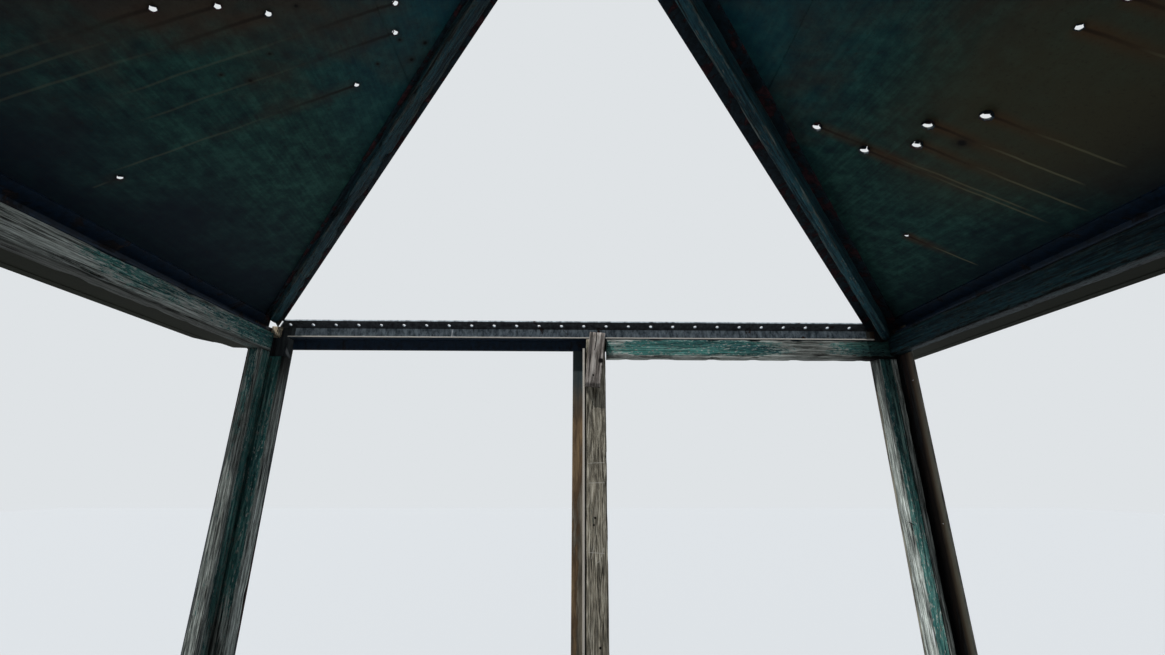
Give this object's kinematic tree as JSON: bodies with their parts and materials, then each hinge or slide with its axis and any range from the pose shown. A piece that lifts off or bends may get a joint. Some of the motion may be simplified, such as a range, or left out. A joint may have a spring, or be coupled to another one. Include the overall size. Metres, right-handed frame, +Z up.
{
  "type": "fire lookout tower cab",
  "caption": "Weathered square cab of a fire lookout tower: steel posts and eaves, timber nailers, sheet lower walls, empty windows, floor hatchway and a hipped roof missing its front slope.",
  "frame": {"origin": "centre of the square cab, on the underside of its floor frame", "axes": "+Z up, +Y towards the wall under the missing roof slope, +X to the right of a person looking along +Y"},
  "size_m": [2.4314, 2.4314, 2.7843],
  "materials": {
    "rusty_steel": "old paint over rust",
    "roof_sheet": "dark green paint, rust runs",
    "galvanised_sheet": "dull weathered zinc",
    "green_painted_timber": "flaking green paint over grey wood",
    "grey_timber": "bare weathered wood",
    "floor_boards": "worn grey boards",
    "joist_timber": "bare aged wood"
  },
  "bodies": {
    "root": {"base_beams": "rusty_steel", "base_ties": "rusty_steel", "floor_joists": "joist_timber", "hatch_trimmers": "joist_timber", "floor_deck": "floor_boards", "hatch_frame": "grey_timber", "corner_posts": "rusty_steel", "wall_front": "galvanised_sheet", "wall_back": "galvanised_sheet", "wall_left": "galvanised_sheet", "wall_right": "galvanised_sheet", "wall_girts": "rusty_steel", "sill_angles": "rusty_steel", "sill_boards": "grey_timber", "mullion_front": "rusty_steel", "mullions_other": "rusty_steel", "mullion_nailer_front": "grey_timber", "mullion_nailers_other": "grey_timber", "mullion_block": "grey_timber", "corner_nailers_fb": "green_painted_timber", "corner_nailers_lr": "green_painted_timber", "head_angle_front": "rusty_steel", "head_angles_other": "rusty_steel", "header_front_right": "green_painted_timber", "headers_back": "green_painted_timber", "headers_left": "green_painted_timber", "headers_right": "green_painted_timber", "eave_front_left": "rusty_steel", "eave_front_right": "rusty_steel", "eave_back": "rusty_steel", "eave_left": "rusty_steel", "eave_right": "rusty_steel", "hip_front_left": "rusty_steel", "hip_front_right": "rusty_steel", "hip_back_left": "rusty_steel", "hip_back_right": "rusty_steel", "hip_nailers": "green_painted_timber", "hip_batten": "green_painted_timber", "nailer_stub": "grey_timber", "peak_hub": "rusty_steel", "roof_left_lower": "roof_sheet", "roof_left_upper": "roof_sheet", "roof_right_lower": "roof_sheet", "roof_right_upper": "roof_sheet", "roof_back_lower": "roof_sheet", "roof_back_upper": "roof_sheet", "roof_hip_caps": "roof_sheet", "roof_peak_cap": "roof_sheet"}
  },
  "joints": []
}
